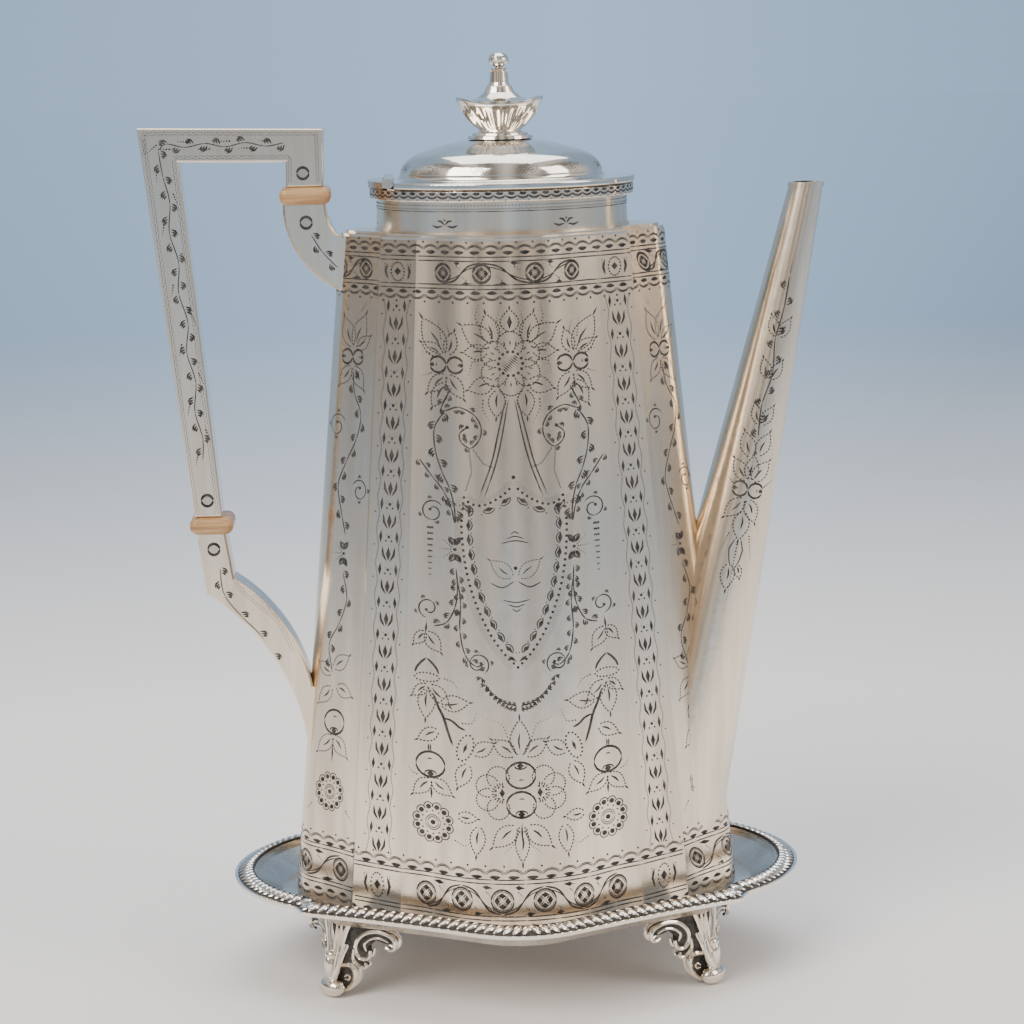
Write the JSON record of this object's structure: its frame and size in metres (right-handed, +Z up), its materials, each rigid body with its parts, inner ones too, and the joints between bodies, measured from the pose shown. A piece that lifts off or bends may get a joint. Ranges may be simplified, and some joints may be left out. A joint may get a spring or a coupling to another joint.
{
  "type": "coffee pot on stand",
  "caption": "Tall silver coffee pot with lobed tapering body, straight spout, angular insulated handle and hinged domed lid, on a footed stand.",
  "frame": {"origin": "on the surface the feet stand on, under the middle of the outer box", "axes": "+Z up, +X towards the spout, -X towards the handle"},
  "size_m": [0.2058, 0.149, 0.28],
  "materials": {
    "silver": "polished silver with an old soft patina",
    "ivory": "aged ivory or horn, satin"
  },
  "bodies": {
    "stand": {"stand_tray": "silver", "stand_rim": "silver", "stand_foot_front_left": "silver", "stand_foot_front_right": "silver", "stand_foot_back_left": "silver", "stand_foot_back_right": "silver"},
    "pot": {"body_shell": "silver", "base_plate": "silver", "shoulder_plate": "silver", "neck_collar": "silver", "collar_band": "silver", "hinge_plate": "silver", "fixed_knuckle_1": "silver", "fixed_knuckle_2": "silver", "fixed_knuckle_3": "silver", "hinge_pin": "silver", "spout": "silver", "spout_tip_band": "silver", "handle_grip": "silver", "handle_upper_socket": "silver", "handle_lower_socket": "silver", "insulator_upper": "ivory", "insulator_lower": "ivory", "handle_pin_grip_upper": "silver", "handle_pin_grip_lower": "silver", "handle_pin_socket_upper": "silver", "handle_pin_socket_lower": "silver"},
    "lid": {"lid_flange": "silver", "lid_bezel": "silver", "lid_dome": "silver", "lid_knuckle_1": "silver", "lid_knuckle_2": "silver", "finial_base": "silver", "finial_bowl": "silver", "finial_cover": "silver", "finial_stem": "silver", "finial_ball": "silver", "finial_stud": "silver", "finial_nut": "silver"}
  },
  "joints": [
    {"name": "pot_lift", "type": "slide", "parent": "stand", "child": "pot", "axis": [0, 0, 1], "range_m": [0, 0.06]},
    {"name": "lid_hinge", "type": "hinge", "parent": "pot", "child": "lid", "pos_m": [-0.0286, 0, 0.24245], "axis": [0, -1, 0], "range_deg": [0, 92]}
  ]
}
